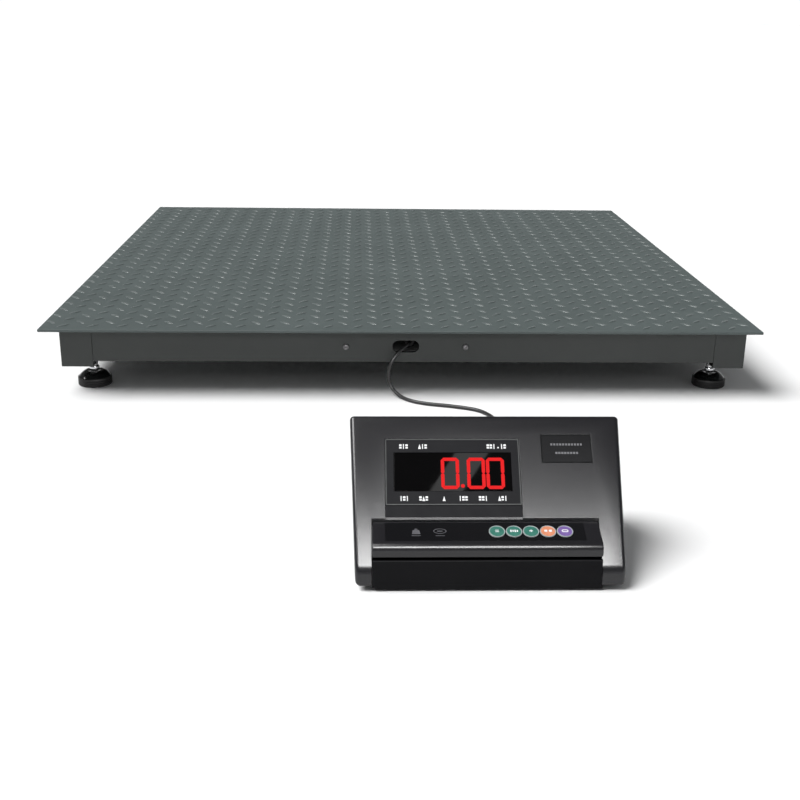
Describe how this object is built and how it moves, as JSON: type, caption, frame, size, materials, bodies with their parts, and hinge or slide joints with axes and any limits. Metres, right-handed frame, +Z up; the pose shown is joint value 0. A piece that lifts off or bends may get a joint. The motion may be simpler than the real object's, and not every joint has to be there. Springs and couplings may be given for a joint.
{
  "type": "pallet scale",
  "caption": "Low floor scale: checker-plate weighing platform on levelling feet, wired to a sloping desk indicator with a red numeric display and round keys.",
  "frame": {"origin": "on the floor, in the middle of the footprint of the platform and the indicator", "axes": "+Z up; +Y from the indicator towards the back of the platform; +X to the right as seen by a person reading the display"},
  "size_m": [1, 1.553, 0.1361],
  "materials": {
    "painted_steel": "hammered grey-green paint",
    "zinc_plate": "bright zinc plate",
    "nickel": "nickel plate",
    "core_steel": "varnished laminations",
    "gloss_black": "gloss",
    "rubber": "matte",
    "cable_sheath": "satin",
    "charcoal_plastic": "fine satin texture",
    "dark_window": "polished",
    "circuit_board": "solder resist",
    "battery_case": "satin",
    "key_green": "printed film",
    "key_orange": "printed film",
    "key_purple": "printed film"
  },
  "bodies": {
    "platform": {"deck_plate": "painted_steel", "front_beam": "painted_steel", "rear_beam": "painted_steel", "left_beam": "painted_steel", "right_beam": "painted_steel", "rib_left": "painted_steel", "rib_centre": "painted_steel", "rib_right": "painted_steel", "junction_box": "zinc_plate", "junction_lid": "zinc_plate", "cable_gland": "gloss_black", "box_screw_left": "zinc_plate", "box_screw_right": "zinc_plate", "indicator_cover": "charcoal_plastic", "indicator_base": "charcoal_plastic", "keypad_tray": "charcoal_plastic", "keypad_panel": "gloss_black", "key_board": "circuit_board", "display_bezel": "gloss_black", "display_window": "dark_window", "display_module": "circuit_board", "nameplate": "gloss_black", "main_board": "circuit_board", "transformer": "core_steel", "battery": "battery_case", "battery_cover": "charcoal_plastic", "switch_body": "gloss_black", "power_inlet": "gloss_black", "sensor_socket": "nickel", "serial_socket": "nickel", "cable_run": "cable_sheath", "cable_coil": "cable_sheath", "cable_tail": "cable_sheath", "cable_plug": "nickel", "load_cell_front_left": "nickel", "lock_nut_front_left": "zinc_plate", "load_cell_front_right": "nickel", "lock_nut_front_right": "zinc_plate", "load_cell_back_left": "nickel", "lock_nut_back_left": "zinc_plate", "load_cell_back_right": "nickel", "lock_nut_back_right": "zinc_plate"},
    "foot_front_left": {"foot_base_front_left": "gloss_black", "foot_pad_front_left": "rubber"},
    "foot_front_right": {"foot_base_front_right": "gloss_black", "foot_pad_front_right": "rubber"},
    "foot_back_left": {"foot_base_back_left": "gloss_black", "foot_pad_back_left": "rubber"},
    "foot_back_right": {"foot_base_back_right": "gloss_black", "foot_pad_back_right": "rubber"},
    "stud_front_left": {"stud_front_left": "zinc_plate"},
    "stud_front_right": {"stud_front_right": "zinc_plate"},
    "stud_back_left": {"stud_back_left": "zinc_plate"},
    "stud_back_right": {"stud_back_right": "zinc_plate"},
    "key_mode": {"key_mode": "key_green"},
    "key_total": {"key_total": "key_green"},
    "key_print": {"key_print": "key_green"},
    "key_tare": {"key_tare": "key_orange"},
    "key_zero": {"key_zero": "key_purple"},
    "power_rocker": {"power_rocker": "gloss_black"}
  },
  "joints": [
    {"name": "foot_front_left_height", "type": "slide", "parent": "platform", "child": "foot_front_left", "axis": [0, 0, 1], "range_m": [-0.012, 0.01]},
    {"name": "stud_front_left_turn", "type": "hinge", "parent": "foot_front_left", "child": "stud_front_left", "pos_m": [-0.442, -0.159, 0.05], "axis": [0, 0, 1], "range_deg": [-2470, 2058]},
    {"name": "foot_front_right_height", "type": "slide", "parent": "platform", "child": "foot_front_right", "axis": [0, 0, 1], "range_m": [-0.012, 0.01]},
    {"name": "stud_front_right_turn", "type": "hinge", "parent": "foot_front_right", "child": "stud_front_right", "pos_m": [0.45, -0.159, 0.05], "axis": [0, 0, 1], "range_deg": [-2470, 2058]},
    {"name": "foot_back_left_height", "type": "slide", "parent": "platform", "child": "foot_back_left", "axis": [0, 0, 1], "range_m": [-0.012, 0.01]},
    {"name": "stud_back_left_turn", "type": "hinge", "parent": "foot_back_left", "child": "stud_back_left", "pos_m": [-0.442, 0.712, 0.05], "axis": [0, 0, 1], "range_deg": [-2470, 2058]},
    {"name": "foot_back_right_height", "type": "slide", "parent": "platform", "child": "foot_back_right", "axis": [0, 0, 1], "range_m": [-0.012, 0.01]},
    {"name": "stud_back_right_turn", "type": "hinge", "parent": "foot_back_right", "child": "stud_back_right", "pos_m": [0.45, 0.712, 0.05], "axis": [0, 0, 1], "range_deg": [-2470, 2058]},
    {"name": "key_mode_press", "type": "slide", "parent": "platform", "child": "key_mode", "axis": [0, 0.2924, -0.9563], "range_m": [0, 0.0008], "stiffness_N_per_m": 2500},
    {"name": "key_total_press", "type": "slide", "parent": "platform", "child": "key_total", "axis": [0, 0.2924, -0.9563], "range_m": [0, 0.0008], "stiffness_N_per_m": 2500},
    {"name": "key_print_press", "type": "slide", "parent": "platform", "child": "key_print", "axis": [0, 0.2924, -0.9563], "range_m": [0, 0.0008], "stiffness_N_per_m": 2500},
    {"name": "key_tare_press", "type": "slide", "parent": "platform", "child": "key_tare", "axis": [0, 0.2924, -0.9563], "range_m": [0, 0.0008], "stiffness_N_per_m": 2500},
    {"name": "key_zero_press", "type": "slide", "parent": "platform", "child": "key_zero", "axis": [0, 0.2924, -0.9563], "range_m": [0, 0.0008], "stiffness_N_per_m": 2500},
    {"name": "power_rocker_tip", "type": "hinge", "parent": "platform", "child": "power_rocker", "pos_m": [0.106, -0.6165, 0.035], "axis": [1, 0, 0], "range_deg": [-18, 0]}
  ],
  "couplings": [
    {"joint": "stud_front_left_turn", "follows": "foot_front_left_height", "rad_per_m": 3590.4},
    {"joint": "stud_front_right_turn", "follows": "foot_front_right_height", "rad_per_m": 3590.4},
    {"joint": "stud_back_left_turn", "follows": "foot_back_left_height", "rad_per_m": 3590.4},
    {"joint": "stud_back_right_turn", "follows": "foot_back_right_height", "rad_per_m": 3590.4}
  ]
}
